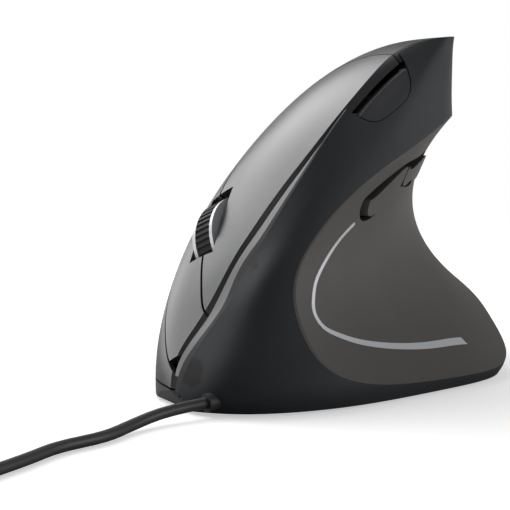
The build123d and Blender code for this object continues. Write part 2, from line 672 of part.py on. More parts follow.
# Hinges of the two buttons
HINGES = {
    "left_button": (place(-0.138, -0.050, 0.816), Vector(-0.54, -0.31, 0.78), Vector(0.80, -0.30, 0.43)),
    "right_button": (place(-0.406, -0.008, 0.550), Vector(-0.90, -0.12, 0.42), Vector(-0.52, 0.07, -0.85)),
}
pins = []
frame_adds = []
pad_trim = finger_frame
for name, (spot, out, along) in HINGES.items():
    out = out.normalized()
    along = (along - out * along.dot(out)).normalized()
    plane = Plane(origin=spot, x_dir=along, z_dir=out)
    half = BARREL_LENGTH / 2
    knuckle = cell(plane, (-half, half), (-WEB_THICK / 2, WEB_THICK / 2), (-HINGE_SINK, HINGE_SINK)) & finger_side(COVER_WALL / 2)
    knuckle += cross_rod(plane, (-half, half), 0, HINGE_SINK, BARREL_RADIUS)
    knuckle -= cross_rod(plane, (-half, half), 0, HINGE_SINK, PIN_RADIUS + RUNNING_GAP)
    buttons[name] += knuckle
    outer = half + LUG_GAP + LUG_WALL
    pins.append(cross_rod(plane, (-outer, outer), 0, HINGE_SINK, PIN_RADIUS))
    clear = half + LUG_GAP
    openings.append(cell(plane, (-clear, clear), (-LUG_HALF, LUG_HALF), (-HINGE_SINK, HINGE_SINK + LUG_HALF)))
    for side in (-1, 1):
        span = sorted((side * clear, side * outer))
        lug = cell(plane, span, (-LUG_HALF, LUG_HALF), (-HINGE_SINK, HINGE_SINK + LUG_HALF)) & pad_trim
        frame_adds.append(lug - cross_rod(plane, (-outer, outer), 0, HINGE_SINK, PIN_RADIUS))
save("button_hinge_pins", Compound(pins))
for name, shape in buttons.items():
    save(name, shape)

# Posts that carry the button board, pads under the palm shell
inner_frame = fit(inner_frame, openings)
for add in frame_adds:
    inner_frame += add
for across, ahead in ((1, 0.10), (-1, 0.10), (1, -0.88), (-1, -0.88)):
    ahead *= BOARD_BACK
    post = rod(WHEEL_PLANE, across * (HALF_BOARD - POST_RADIUS), ahead, (-WHEEL_SINK, BOARD_SINK), POST_RADIUS)
    inner_frame += post & pad_trim
PAD_SHARES = [(0.0, 0.18), (-0.30, 0.20), (0.10, 0.10), (-0.15, 0.36)]
for across, along in PAD_SHARES:
    column = Pos(place(across, along, 0.7)) * Cylinder(BOSS_RADIUS, 0.8 * BODY_HEIGHT)
    inner_frame += ((column & finger_cover) & core) - finger_inner
inner_frame -= cell(WHEEL_PLANE, (-HALF_BOARD, HALF_BOARD), (-BOARD_BACK, BOARD_FRONT), board_deep)
print("frame", inner_frame.is_valid, inner_frame.volume, len(inner_frame.solids()))

# Resolution button in the front panel by the ridge
RES_PLANE = Plane(origin=place(0.183, -0.110, 0.830), x_dir=Vector(0.57, 0.71, 0), z_dir=Vector(0.71, -0.57, 0.42))
RES_SHARES = [
    (0.109, -0.173, 0.801), (0.141, -0.1675, 0.783), (0.170, -0.156, 0.768), (0.190, -0.1425, 0.765),
    (0.204, -0.130, 0.771), (0.220, -0.111, 0.788), (0.239, -0.086, 0.813), (0.248, -0.072, 0.832),
    (0.248, -0.059, 0.859), (0.241, -0.052, 0.885), (0.229, -0.0475, 0.910),
]
RES_CORNER_SHARES = [(0.181, -0.030, 0.975), (0.065, -0.158, 0.849)]


def res_prism(share):
    """The prism of the resolution button's outline, drawn to its middle by a share."""
    def turn(*p):
        local = RES_PLANE.to_local_coords(place(*p))
        return RES_PLANE.from_local_coords(Vector(local.X * share, local.Y * share, -BODY_HEIGHT / 4))
    face = flat_face(RES_SHARES, RES_CORNER_SHARES, turn)
    return Solid.extrude(face, RES_PLANE.z_dir * (BODY_HEIGHT / 2))


near_ridge = RES_PLANE * Box(BODY_WIDTH / 2, BODY_WIDTH / 2, BODY_WIDTH / 6)
RES_FIT_SHARE = 0.965
RES_ROOM_SHARE = 1.04
clear_of_trim = finger_side(COVER_WALL + COVER_SINK + COVER_GAP)
res_button = largest(((shell_blank & res_prism(RES_FIT_SHARE)) & near_ridge) & clear_of_trim)
thumb_shell = shell_blank - (res_prism(1.0) & near_ridge)
res_top = switch_pair("resolution_switch", RES_PLANE, 0, 0, SMALL_BOARD_SINK, TACT_HEIGHT, TACT_SIDE, TACT_SIDE, 0)
res_button += rod(RES_PLANE, 0, 0, (CAP_DEPTH / 2, res_top - PLUNGER_SLACK), STEM_RADIUS)
save("resolution_button", res_button)
half = RES_BOARD_WIDTH / 2
small_deep = (SMALL_BOARD_SINK, SMALL_BOARD_SINK + BOARD_THICK)
save("resolution_board", cell(RES_PLANE, (-half, half), (-RES_BOARD_HIGH, RES_BOARD_LOW), small_deep))
bracket_deep = (SMALL_BOARD_SINK - BOARD_THICK, SMALL_BOARD_SINK + 2 * BOARD_THICK)
bracket = cell(RES_PLANE, (-TACT_SIDE / 2, TACT_SIDE / 2), (-2 * RES_BOARD_HIGH, -TACT_SIDE / 2 - LUG_GAP), bracket_deep)
inner_frame += (bracket & finger_frame) & core
tact_half = TACT_SIDE / 2 + FRAME_CLEAR
inner_frame -= cell(RES_PLANE, (-tact_half, tact_half), (-tact_half, tact_half), (0, SMALL_BOARD_SINK))
inner_frame -= cell(RES_PLANE, (-half, half), (-RES_BOARD_HIGH, RES_BOARD_LOW), small_deep)
inner_frame -= res_prism(RES_ROOM_SHARE) & near_ridge
inner_frame = largest(inner_frame)
print("frame", inner_frame.is_valid, inner_frame.volume)

# Thumb buttons in the scoop
THUMB_PLANE = Plane(origin=place(0.203, -0.042, 0.605), x_dir=Vector(-0.03, 1, 0.06), z_dir=Vector(0.89, 0.03, -0.45))
FORWARD_SHARES = [
    (-0.163, 0.548), (-0.105, 0.597), (-0.056, 0.625), (-0.051, 0.572), (-0.083, 0.543), (-0.138, 0.498), (-0.159, 0.510),
]
BACK_SHARES = [
    (-0.044, 0.628), (0.028, 0.640), (0.075, 0.639), (0.085, 0.610), (0.067, 0.584), (0.000, 0.577), (-0.040, 0.582),
]
THUMB_OPENING_SHARES = [
    (-0.175, 0.556), (-0.107, 0.613), (-0.058, 0.640), (0.028, 0.655), (0.079, 0.653), (0.091, 0.612),
    (0.069, 0.573), (0.000, 0.562), (-0.047, 0.564), (-0.083, 0.531), (-0.141, 0.484), (-0.172, 0.499),
]


def side_blob(shares):
    """A prism across the thumb side over a closed smooth outline."""
    points = [place(0, *p) for p in shares]
    face = Face(Wire([Spline(points, periodic=True)]))
    return Solid.extrude(face, Vector(0.6 * BODY_WIDTH, 0, 0))


thumb_shell -= side_blob(THUMB_OPENING_SHARES)
cap_layer = scoop(CAP_DEPTH) - scoop(-CAP_PROUD)
for name, shares, at in (("forward", FORWARD_SHARES, -0.066), ("back", BACK_SHARES, 0.066)):
    along = at * BODY_LENGTH
    level = THUMB_PLANE.to_local_coords(place(0.2, -0.042 + at, 0.555 if at < 0 else 0.605)).Y
    top = switch_pair(f"{name}_switch", Plane(THUMB_PLANE.origin + THUMB_PLANE.x_dir * along, x_dir=THUMB_PLANE.x_dir, z_dir=THUMB_PLANE.z_dir), 0, -level, SMALL_BOARD_SINK, TACT_HEIGHT, TACT_SIDE, TACT_SIDE, 0)
    cap = side_blob(shares) & cap_layer
    cap += rod(THUMB_PLANE, along, -level, (CAP_DEPTH / 2, top - PLUNGER_SLACK), STEM_RADIUS)
    save(f"{name}_button", cap)
half = SIDE_BOARD_WIDTH / 2
save("side_board", cell(THUMB_PLANE, (-half, half), (-SIDE_BOARD_HIGH, SIDE_BOARD_LOW), small_deep))
for across in (-0.1, 0.75):
    post = rod(THUMB_PLANE, across * half, SIDE_BOARD_LOW - POST_RADIUS, (-POST_RADIUS, SMALL_BOARD_SINK), POST_RADIUS)
    thumb_shell += (post - scoop(PANEL_WALL / 2)) & envelope
print("thumb shell", thumb_shell.is_valid, thumb_shell.volume, len(thumb_shell.solids()))

# Bright strip in the scoop
STRIP_SHARES = [
    (-0.188, 0.483), (-0.2575, 0.419), (-0.285, 0.385), (-0.3175, 0.338), (-0.335, 0.296),
    (-0.344, 0.260), (-0.337, 0.224), (-0.3125, 0.198), (-0.278, 0.175), (-0.233, 0.155),
    (-0.168, 0.137), (-0.095, 0.126), (-0.031, 0.122), (0.009, 0.117),
]


def strip_prism():
    """A prism across the thumb side over the strip's outline, which widens downwards."""
    middle = [place(0, *p) for p in STRIP_SHARES]
    upper, lower = [], []
    for i, p in enumerate(middle):
        ahead = (middle[min(i + 1, len(middle) - 1)] - middle[max(i - 1, 0)]).normalized()
        half = (STRIP_THIN + (STRIP_THICK - STRIP_THIN) * i / (len(middle) - 1)) / 2
        beside = Vector(0, -ahead.Z, ahead.Y) * half
        upper.append(p + beside)
        lower.append(p - beside)
    lower.reverse()
    face = Face(Wire([
        Spline(upper), Line(upper[-1], lower[0]), Spline(lower), Line(lower[-1], upper[0]),
    ]))
    return Solid.extrude(face, Vector(0.6 * BODY_WIDTH, 0, 0))


strip_block = strip_prism()
thumb_strip = (strip_block & scoop(STRIP_DEPTH)) - scoop(-STRIP_PROUD)
save("thumb_strip", thumb_strip)

# Cord exit: its route starts at the gland's outer face
CORD_ROUTE_SHARES = [
    (-0.0957, -0.5078, 1.271), (-0.1652, -0.575, 1.083), (-0.1986, -0.667, 0.583),
    (-0.1913, -0.7625, 0.542), (-0.2507, -0.8625, 0.542), (-0.2449, -0.9583, 0.542),
    (-0.2580, -1.0833, 0.542), (-0.2580, -1.2042, 0.542),
]
cord_points = [
    Vector(x * BODY_WIDTH, y * BODY_LENGTH, z * CORD_DIAMETER) for x, y, z in CORD_ROUTE_SHARES
]
exit_heading = (cord_points[1] - cord_points[0]).normalized()
EXIT_PLANE = Plane(origin=cord_points[0] - exit_heading * GLAND_PROUD, z_dir=exit_heading)
gland = rod(EXIT_PLANE, 0, 0, (-GLAND_PROUD, GLAND_INSIDE), GLAND_RADIUS)
gland += rod(EXIT_PLANE, 0, 0, (COLLAR_START, COLLAR_START + COLLAR_THICK), GLAND_COLLAR)
save("cable_grommet", gland)
gland_room = rod(EXIT_PLANE, 0, 0, (-2 * GLAND_PROUD, GLAND_INSIDE), GLAND_RADIUS)
gland_room += rod(EXIT_PLANE, 0, 0, (COLLAR_START, COLLAR_START + COLLAR_THICK), GLAND_COLLAR)
thumb_shell = largest(thumb_shell) - gland_room
base_shell = base_shell - gland_room

# Main board on its stands, sensor, lens and light
BOARD_SPOT = place(-0.058, -0.017, 0)
FLOOR_PLANE = Plane(origin=Vector(BOARD_SPOT.X, BOARD_SPOT.Y, 0), z_dir=Vector(0, 0, 1))
BOARD_LOW = MAIN_BOARD_UP
BOARD_TOP = MAIN_BOARD_UP + BOARD_THICK


def block(across, along, low, high, length, width):
    """An upright block on the floor frame, given by its middle, heights, length and width."""
    return FLOOR_PLANE * Pos(across, along, (low + high) / 2) * Box(width, length, high - low)


def post_at(across, along, low, high, radius):
    """An upright post on the floor frame."""
    return FLOOR_PLANE * Pos(across, along, (low + high) / 2) * Cylinder(radius, high - low)


main_board = block(0, 0, BOARD_LOW, BOARD_TOP, MAIN_BOARD_LENGTH, MAIN_BOARD_WIDTH)
main_board -= post_at(0, 0, 0, 2 * BOARD_TOP, EYE_RADIUS)
stand_out = MAIN_BOARD_WIDTH / 2 - STAND_RADIUS
stand_ahead = MAIN_BOARD_LENGTH / 2 - STAND_RADIUS
board_screws = []
for across in (-stand_out, stand_out):
    for along in (-stand_ahead, stand_ahead):
        base_shell += post_at(across, along, FLOOR_LOW, BOARD_LOW, STAND_RADIUS)
        tip = BOARD_TOP - BOARD_SCREW_LENGTH
        shank = post_at(across, along, tip, BOARD_TOP, BOARD_SCREW_RADIUS)
        head = post_at(across, along, BOARD_TOP, BOARD_TOP + BOARD_SCREW_TALL, BOARD_SCREW_HEAD)
        slot_low = BOARD_TOP + BOARD_SCREW_TALL / 2
        cross = block(across, along, slot_low, 2 * BOARD_TOP, BOARD_SCREW_RADIUS * 2, BOARD_SCREW_RADIUS / 2)
        cross += block(across, along, slot_low, 2 * BOARD_TOP, BOARD_SCREW_RADIUS / 2, BOARD_SCREW_RADIUS * 2)
        board_screws.append(shank + head - cross)
        base_shell -= shank
        main_board -= shank
save("board_screws", Compound(board_screws))
lens_low = FLOOR_TOP
lens = block(0, 0, lens_low, BOARD_LOW, LENS_LENGTH, LENS_WIDTH)
lens += post_at(0, 0, FLOOR_LOW + FLOOR_WALL / 2, BOARD_LOW, EYE_RADIUS)
save("sensor_lens", lens)
base_shell -= post_at(0, 0, 0, FLOOR_TOP, EYE_RADIUS)
sensor_top = BOARD_TOP + SENSOR_TALL
save("optical_sensor", block(0, 0, BOARD_TOP, sensor_top, SENSOR_LENGTH, SENSOR_WIDTH))
led_along = SENSOR_LENGTH / 2 + LED_LENGTH / 2
led = FLOOR_PLANE * Pos(0, led_along, BOARD_TOP + LED_RADIUS) * Rot(90, 0, 0) * Cylinder(LED_RADIUS, LED_LENGTH)
save("sensor_light", led)
chip_along = -MAIN_BOARD_LENGTH / 4
chip_across = MAIN_BOARD_WIDTH / 4
save("processor", block(chip_across, chip_along, BOARD_TOP, BOARD_TOP + CHIP_TALL, CHIP_SIDE, CHIP_SIDE))
socket_along = SOCKET_WIDTH / 2 - MAIN_BOARD_LENGTH / 2 + 2 * BOARD_SCREW_HEAD
socket = block(0, socket_along, BOARD_TOP, BOARD_TOP + SOCKET_TALL, SOCKET_WIDTH, SOCKET_LENGTH)
socket -= block(0, socket_along, BOARD_TOP + SOCKET_TALL / 3, 2 * sensor_top, SOCKET_WIDTH / 2, SOCKET_LENGTH * 0.8)
save("cable_socket", socket)

# Housing screws from below into bosses of the frame and the thumb side shell
SCREW_SHARES = [
    (-0.333, -0.300, 0.160, "frame"), (-0.246, 0.317, 1.0, "frame"),
    (0.275, -0.130, 0.333, "thumb"), (0.261, 0.192, 0.333, "thumb"),
]
screws = []
head_low = FLOOR_LOW + SCREW_SINK
head_high = head_low + SCREW_HEAD_TALL
for across_share, along_share, top_share, holder in SCREW_SHARES:
    spot = place(across_share, along_share, 0) - FLOOR_PLANE.origin
    across, along = spot.X, spot.Y
    column = post_at(across, along, FLOOR_TOP, top_share * BODY_HEIGHT, BOSS_RADIUS)
    shank = post_at(across, along, head_high, head_high + SCREW_LENGTH, SCREW_RADIUS)
    head = post_at(across, along, head_low, head_high, SCREW_HEAD)
    slot = block(across, along, 0, head_low + SCREW_HEAD_TALL / 2, 2 * SCREW_RADIUS, SCREW_RADIUS / 2)
    slot += block(across, along, 0, head_low + SCREW_HEAD_TALL / 2, SCREW_RADIUS / 2, 2 * SCREW_RADIUS)
    screws.append(shank + head - slot)
    base_shell -= post_at(across, along, 0, head_high, SCREW_HEAD)
    base_shell -= shank
    if holder == "frame":
        inner_frame += ((column & core) & finger_frame) - shank
    else:
        thumb_shell += column & envelope
        thumb_shell -= shank
        room = post_at(across, along, FLOOR_TOP, BODY_HEIGHT, BOSS_RADIUS + RUNNING_GAP)
        main_board -= room
        base_shell -= room
save("housing_screws", Compound(screws))
save("main_board", main_board)

# Feet
FOOT_SHARES = {"front_foot": (-0.15, -0.360), "rear_foot": (-0.06, 0.340)}
for name, (across, along) in FOOT_SHARES.items():
    pad = Pos(place(across, along, 0)) * Pos(0, 0, FOOT_THICK / 2) * Box(FOOT_LENGTH, FOOT_WIDTH, FOOT_THICK)
    pad = fillet(pad.edges().filter_by(Axis.Z), FOOT_WIDTH / 2.5)
    base_shell -= pad
    save(name, pad)

save("palm_shell", palm_shell)
save("inner_frame", inner_frame)
save("seam_trim", seam_trim)
thumb_shell -= strip_block & scoop(STRIP_DEPTH)
save("thumb_side_shell", thumb_shell)
save("base_shell", base_shell)


def turn_radii(points):
    """Bend radii of a route: as large as its runs allow."""
    radii = []
    for a, b, c in zip(points, points[1:], points[2:]):
        one, two = b - a, c - b
        turn = math.radians(one.get_angle(two))
        radii.append(0.45 * min(one.length, two.length) / math.tan(turn / 2))
    return radii


# Free cord
radii = turn_radii(cord_points)
print("cord bend radii", [round(r, 1) for r in radii])
free_path = FilletPolyline(*cord_points, radius=radii)
cord = sweep(Plane(origin=free_path @ 0, z_dir=free_path % 0) * Circle(CORD_DIAMETER / 2), path=free_path)
section = math.pi * (CORD_DIAMETER / 2) ** 2
print("cord length", free_path.length, "volume share", cord.volume / (section * free_path.length))
save("mouse_cable", cord)

# Coil: two layers of half turns, in and then out, with a climbing half turn between them
entry = cord_points[-1]
centre = entry - Vector(COIL_OUTER, 0, 0)
half_radii = [COIL_OUTER]
for i in range(COIL_HALF_TURNS):
    ease = COIL_EASE_SHARE if i >= COIL_HALF_TURNS - 2 else 1
    half_radii.append(half_radii[-1] - ease * COIL_PITCH / 2)
spots = []
for i, radius in enumerate(half_radii):
    spots.append(centre + Vector(radius * (-1) ** i, 0, 0))
for i, radius in enumerate(reversed(half_radii)):
    spots.append(centre + Vector(radius * (-1) ** (i + COIL_HALF_TURNS + 1), 0, LAYER_RISE))
edges = []
for i, (a, b) in enumerate(zip(spots, spots[1:])):
    heading = Vector(0, -1, 0) * (-1) ** i
    middle = (a + b) / 2 + heading * ((b - a).length / 2)
    edges.append(Edge.make_tangent_arc(a, heading, middle))
    back = Edge.make_tangent_arc(b, heading, middle)
    edges.append(back.reversed())
tail_end = spots[-1] + Vector(0, COIL_TAIL, 0)
edges.append(Edge.make_line(spots[-1], tail_end))
coil_path = Wire(edges)
coil = sweep(Plane(origin=entry, z_dir=Vector(0, -1, 0)) * Circle(CORD_DIAMETER / 2), path=coil_path)
print("coil length", coil_path.length, "volume share", coil.volume / (section * coil_path.length))
save("cable_coil", coil)


def least_self_gap(path, diameter):
    """The least gap between parts of a path more than a few diameters apart along it."""
    count = int(path.length / (diameter / 2))
    points = [tuple(path @ (i / count)) for i in range(count + 1)]
    skip = 8
    least = path.length
    for i in range(0, len(points), 2):
        for j in range(i + skip, len(points)):
            least = min(least, math.dist(points[i], points[j]))
    return least - diameter


print("coil self gap", least_self_gap(coil_path, CORD_DIAMETER), "total", coil_path.length + free_path.length)

# Plug: moulded grip resting on the floor, metal shell, contact tongue
GRIP_HEIGHT = 2 * tail_end.Z


def plug_block(start, length, width, height):
    """A block ahead of the cord's end."""
    return Pos(tail_end) * Pos(0, start + length / 2, 0) * Box(width, length, height)


grip = plug_block(0, PLUG_LENGTH, PLUG_WIDTH, GRIP_HEIGHT)
grip = fillet(grip.edges().filter_by(Axis.Y), GRIP_HEIGHT / 4)
save("plug_grip", grip)
shell = plug_block(PLUG_LENGTH, SHELL_LENGTH, SHELL_WIDTH, SHELL_HEIGHT)
shell -= plug_block(PLUG_LENGTH, SHELL_LENGTH, SHELL_WIDTH - 2 * SHELL_WALL, SHELL_HEIGHT - 2 * SHELL_WALL)
save("plug_shell", shell)
tongue = plug_block(PLUG_LENGTH, SHELL_LENGTH - SHELL_WALL, SHELL_WIDTH - 2 * SHELL_WALL, TONGUE_THICK)
tongue = Pos(0, 0, SHELL_HEIGHT / 2 - SHELL_WALL - TONGUE_THICK / 2) * tongue
save("plug_tongue", tongue)
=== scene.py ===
# %% [markdown]
# A vertical mouse stands on a pale floor like a hand held out to be shaken. Its solids come from the
# measured model, so this script only dresses them: camera, cord, finishes and light. Loading the frame
# first keeps every added piece in the same place as the solids.

import math

import bpy
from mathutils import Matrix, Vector


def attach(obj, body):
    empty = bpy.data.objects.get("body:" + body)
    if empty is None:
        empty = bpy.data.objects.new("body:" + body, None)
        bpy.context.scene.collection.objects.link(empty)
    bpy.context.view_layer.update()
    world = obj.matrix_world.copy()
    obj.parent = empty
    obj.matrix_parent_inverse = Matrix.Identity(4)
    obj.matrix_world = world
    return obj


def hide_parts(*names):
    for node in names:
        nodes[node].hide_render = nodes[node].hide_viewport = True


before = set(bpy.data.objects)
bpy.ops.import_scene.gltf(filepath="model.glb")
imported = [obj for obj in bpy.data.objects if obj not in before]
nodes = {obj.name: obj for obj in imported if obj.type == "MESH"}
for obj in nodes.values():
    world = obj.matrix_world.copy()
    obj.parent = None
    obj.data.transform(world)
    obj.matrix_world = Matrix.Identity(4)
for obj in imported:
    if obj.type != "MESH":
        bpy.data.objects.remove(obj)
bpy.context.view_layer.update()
mm = 0.001

# %% [markdown]
# The photograph looks at the nose from the thumb side, a little above the desk. A camera could be placed
# by eye, but here it was fitted to the mouse's outline: half a metre away with a long lens, which keeps
# the shape upright and flat, as product pictures do. A point to look at turns it the right way.

# %% Camera
look_at = Vector((-18.01, -10.97, 26.94)) * mm
stands_at = Vector((183.84, -464.34, 87.88)) * mm
lens_mm = 158.65
sensor_mm = 36.0
camera_data = bpy.data.cameras.new("camera")
camera_data.lens = lens_mm
camera_data.sensor_width = sensor_mm
camera_data.sensor_fit = "HORIZONTAL"
camera = bpy.data.objects.new("camera", camera_data)
bpy.context.collection.objects.link(camera)
camera.location = stands_at
camera.rotation_euler = (look_at - stands_at).to_track_quat("-Z", "Y").to_euler()
bpy.context.scene.camera = camera
print("camera distance", (look_at - stands_at).length)

# %% [markdown]
# The cord is a thin round cable that leaves the nose, runs away over the desk in loose waves and is
# wound up near its plug. It could be a tube of mesh, but a curve with a round section bends more evenly
# and stays easy to change. Its points are the same listed route as in the solids, and half circles
# of falling radius make the coil, one layer inward and one outward on top of it.

# %% Cord route
body_size = Vector((69.0, 120.0, 75.4))
cord_diameter = 2.4
route_shares = [
    (-0.0957, -0.5078, 1.271), (-0.1652, -0.575, 1.083), (-0.1986, -0.667, 0.583),
    (-0.1913, -0.7625, 0.542), (-0.2507, -0.8625, 0.542), (-0.2449, -0.9583, 0.542),
    (-0.2580, -1.0833, 0.542), (-0.2580, -1.2042, 0.542),
]
route = [Vector((x * body_size.x, y * body_size.y, z * cord_diameter)) for x, y, z in route_shares]
coil_outer = 24.0
coil_pitch = 3.0
coil_ease_share = 1.3
layer_rise = 2.95
half_turns = 12
tail_length = 20.0
tail_start = 2.0


def half_turn(start, end, ahead, count=9):
    """Points of a half circle from start to end that sets off along ahead.

    A third-order curve touches the middle of each leg between its points and blends 1, 6 and 1
    eighths of three points in between, so wide draws the points outward by that much.
    """
    middle = (start + end) / 2
    across = start - middle
    reach = ahead * across.length
    step = math.pi / count
    wide = 8 / (6 + 2 * math.cos(step))
    points = []
    for i in range(count):
        angle = step * (i + 0.5)
        rise = (end - start).z * (i + 0.5) / count
        flat = (Vector((across.x, across.y, 0)) * math.cos(angle) + reach * math.sin(angle)) * wide
        points.append(Vector((middle.x, middle.y, start.z + rise)) + flat)
    return points


radii = [coil_outer]
for i in range(half_turns):
    ease = coil_ease_share if i >= half_turns - 2 else 1
    radii.append(radii[-1] - ease * coil_pitch / 2)
centre = route[-1] - Vector((coil_outer, 0, 0))
spots = [centre + Vector((r * (-1) ** i, 0, 0)) for i, r in enumerate(radii)]
lift = Vector((0, 0, layer_rise))
for i, r in enumerate(reversed(radii)):
    spots.append(centre + lift + Vector((r * (-1) ** (i + half_turns + 1), 0, 0)))
coil_points = []
for i, (a, b) in enumerate(zip(spots, spots[1:])):
    coil_points += half_turn(a, b, Vector((0, -1, 0)) * (-1) ** i)
tail_points = [spots[-1] + Vector((0, y, 0)) for y in (tail_start, tail_length)]
cord_points = route + coil_points + tail_points
print("cord points", len(cord_points))

# %% Cord curve
curve_order = 3
round_steps = 4
cord_data = bpy.data.curves.new("cord", "CURVE")
cord_data.dimensions = "3D"
cord_data.bevel_depth = 1.0
cord_data.bevel_resolution = round_steps
cord_data.resolution_u = round_steps
cord_data.use_fill_caps = True
spline = cord_data.splines.new("NURBS")
spline.points.add(len(cord_points) - 1)
for point, at in zip(spline.points, cord_points):
    point.co = (*(at * mm), 1)
    point.radius = cord_diameter / 2 * mm
spline.order_u = curve_order
spline.use_endpoint_u = True
cord = bpy.data.objects.new("cord", cord_data)
bpy.context.collection.objects.link(cord)
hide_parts("mouse_cable", "cable_coil")
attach(cord, "housing")

# %% [markdown]
# Every finish starts from what the real piece is made of. Colours are picked as from a colour chart and
# turned linear in one place, because Blender counts light in linear numbers. Nodes could be added and
# linked line by line, but one small function does both, so that each material reads as a short recipe.

# %% Colour and node helpers


def chart_colour(code):
    """A chart colour such as 8A8A8D as linear numbers."""
    values = [int(code[i:i + 2], 16) / 255 for i in (0, 2, 4)]
    return tuple(v / 12.92 if v <= 0.04045 else ((v + 0.055) / 1.055) ** 2.4 for v in values) + (1.0,)


def add_node(tree, kind, settings=None, inputs=(), **sockets):
    """Adds a node: settings are its own properties, and inputs fill its sockets in order or by name.

    A value may be a number, a colour, another node's output, or a node for its first output.
    """
    node = tree.nodes.new(kind)
    for name, value in (settings or {}).items():
        setattr(node, name, value)
    filled = list(zip(node.inputs, inputs))
    filled += [(node.inputs[name.replace("_", " ")], value) for name, value in sockets.items()]
    for socket, value in filled:
        if isinstance(value, bpy.types.Node):
            value = value.outputs[0]
        if isinstance(value, bpy.types.NodeSocket):
            tree.links.new(value, socket)
        else:
            socket.default_value = value
    return node


def empty_tree(owner):
    """A material's or world's node tree, emptied."""
    owner.use_nodes = True
    owner.node_tree.nodes.clear()
    return owner.node_tree


print("chart grey 8A8A8D is", chart_colour("8A8A8D"))

# %% [markdown]
# Real mouldings are never one even colour: a mould's spark-eroded face leaves a fine grain, and flow and
# handling change tone and gloss in soft patches. Pictures of plastic could be wrapped around the mouse,
# but noise worked out in space needs no unwrapping and never shows a seam. The real grain is under a
# tenth of a millimetre, too fine to show here, so it is drawn a few times coarser. The patches shift
# tone and roughness by a few hundredths.

# %% Moulded surface
grain_height = 0.05
patch_mm = 9.0
patch_share = 0.06


def surface(name, colour, grain_mm, grain_depth, roughness, **sockets):
    """A moulded or coated surface with fine grain and soft patches of tone and gloss.

    The colour is a chart colour, or a function that adds its own nodes.
    """
    material = bpy.data.materials.new(name)
    tree = empty_tree(material)
    spot = add_node(tree, "ShaderNodeTexCoord").outputs["Object"]
    grain = add_node(tree, "ShaderNodeTexNoise", Vector=spot, Scale=1 / (grain_mm * mm), Detail=2.0)
    bump = add_node(tree, "ShaderNodeBump", Height=grain, Strength=grain_depth, Distance=grain_height * mm)
    patches = add_node(tree, "ShaderNodeTexNoise", Vector=spot, Scale=1 / (patch_mm * mm), Detail=3.0)
    tone = add_node(
        tree, "ShaderNodeMapRange", Value=patches, To_Min=1 - patch_share, To_Max=1 + patch_share,
    )
    base = colour(tree) if callable(colour) else chart_colour(colour)
    tint = add_node(tree, "ShaderNodeHueSaturation", Color=base, Value=tone)
    gloss = add_node(
        tree, "ShaderNodeMapRange", Value=patches,
        To_Min=roughness * (1 + patch_share), To_Max=roughness * (1 - patch_share),
    )
    shader = add_node(
        tree, "ShaderNodeBsdfPrincipled", Base_Color=tint, Roughness=gloss, Normal=bump, **sockets,
    )
    add_node(tree, "ShaderNodeOutputMaterial", Surface=shader)
    return material


def dress(material, *names):
    """Gives CAD nodes a finish."""
    for name in names:
        data = nodes[name].data
        data.materials.clear()
        data.materials.append(material)
    print(material.name, "on", len(names), "pieces")


# %% [markdown]
# The thumb side is black ABS under soft-touch paint. It is drawn in three tones: black painted shade on
# the narrow lip along the ridge, dark grey on the front panel, and a paler warm grey of painted light in
# the bowl where the thumb rests. The faces could be painted one by one, but the tones follow the form, so
# the form itself can tell them apart. The bowl is a parabola swept straight and then round a bend: a spot
# lies in it where its distance outward equals that parabola. The lip is told by how far it turns to the
# left, which changes with its height.

# %% Places of the painted shade, the panel grey and the painted light
smooth = {"interpolation_type": "SMOOTHSTEP"}
scoop_start = Vector((0.161, -0.1, 0.4325)) * body_size
scoop_heading = Vector((0.143, 1, 0.13)).normalized()
scoop_out = Vector((scoop_heading.y, -scoop_heading.x, 0)).normalized()
scoop_up = scoop_out.cross(scoop_heading)
scoop_depth = 22.2
scoop_bend = 67.6
scoop_skin = 0.3
scoop_fade = 0.39


def in_scoop(tree, spot):
    """One where a spot lies on the thumb rest's bowl, where the painted light goes, and nought away from
    it.
    """
    bend = scoop_bend * mm
    place = add_node(tree, "ShaderNodeVectorMath", {"operation": "SUBTRACT"}, (spot, scoop_start * mm))
    out, back, up = (
        add_node(tree, "ShaderNodeVectorMath", {"operation": "DOT_PRODUCT"}, (place, way)).outputs["Value"]
        for way in (scoop_out, scoop_heading, scoop_up)
    )
    outward = add_node(tree, "ShaderNodeMath", {"operation": "ADD"}, (out, bend))
    behind = add_node(tree, "ShaderNodeMath", {"operation": "MAXIMUM"}, (back, 0.0))
    arm = add_node(tree, "ShaderNodeCombineXYZ", X=outward, Y=behind)
    reach = add_node(tree, "ShaderNodeVectorMath", {"operation": "LENGTH"}, (arm,)).outputs["Value"]
    square = add_node(tree, "ShaderNodeMath", {"operation": "MULTIPLY"}, (up, up))
    steepness = 1 / (2 * scoop_depth * mm)
    bowl = add_node(tree, "ShaderNodeMath", {"operation": "MULTIPLY_ADD"}, (square, steepness, bend))
    off = add_node(tree, "ShaderNodeMath", {"operation": "SUBTRACT"}, (reach, bowl))
    gap = add_node(tree, "ShaderNodeMath", {"operation": "ABSOLUTE"}, (off,))
    return add_node(
        tree, "ShaderNodeMapRange", smooth, Value=gap, From_Min=scoop_fade * mm, From_Max=scoop_skin * mm,
    )


lip_low = 24.0
lip_high = 52.0
lip_turn_low = -0.355
lip_turn_high = -0.1
lip_fade_low = -0.01
lip_fade_high = 0.02


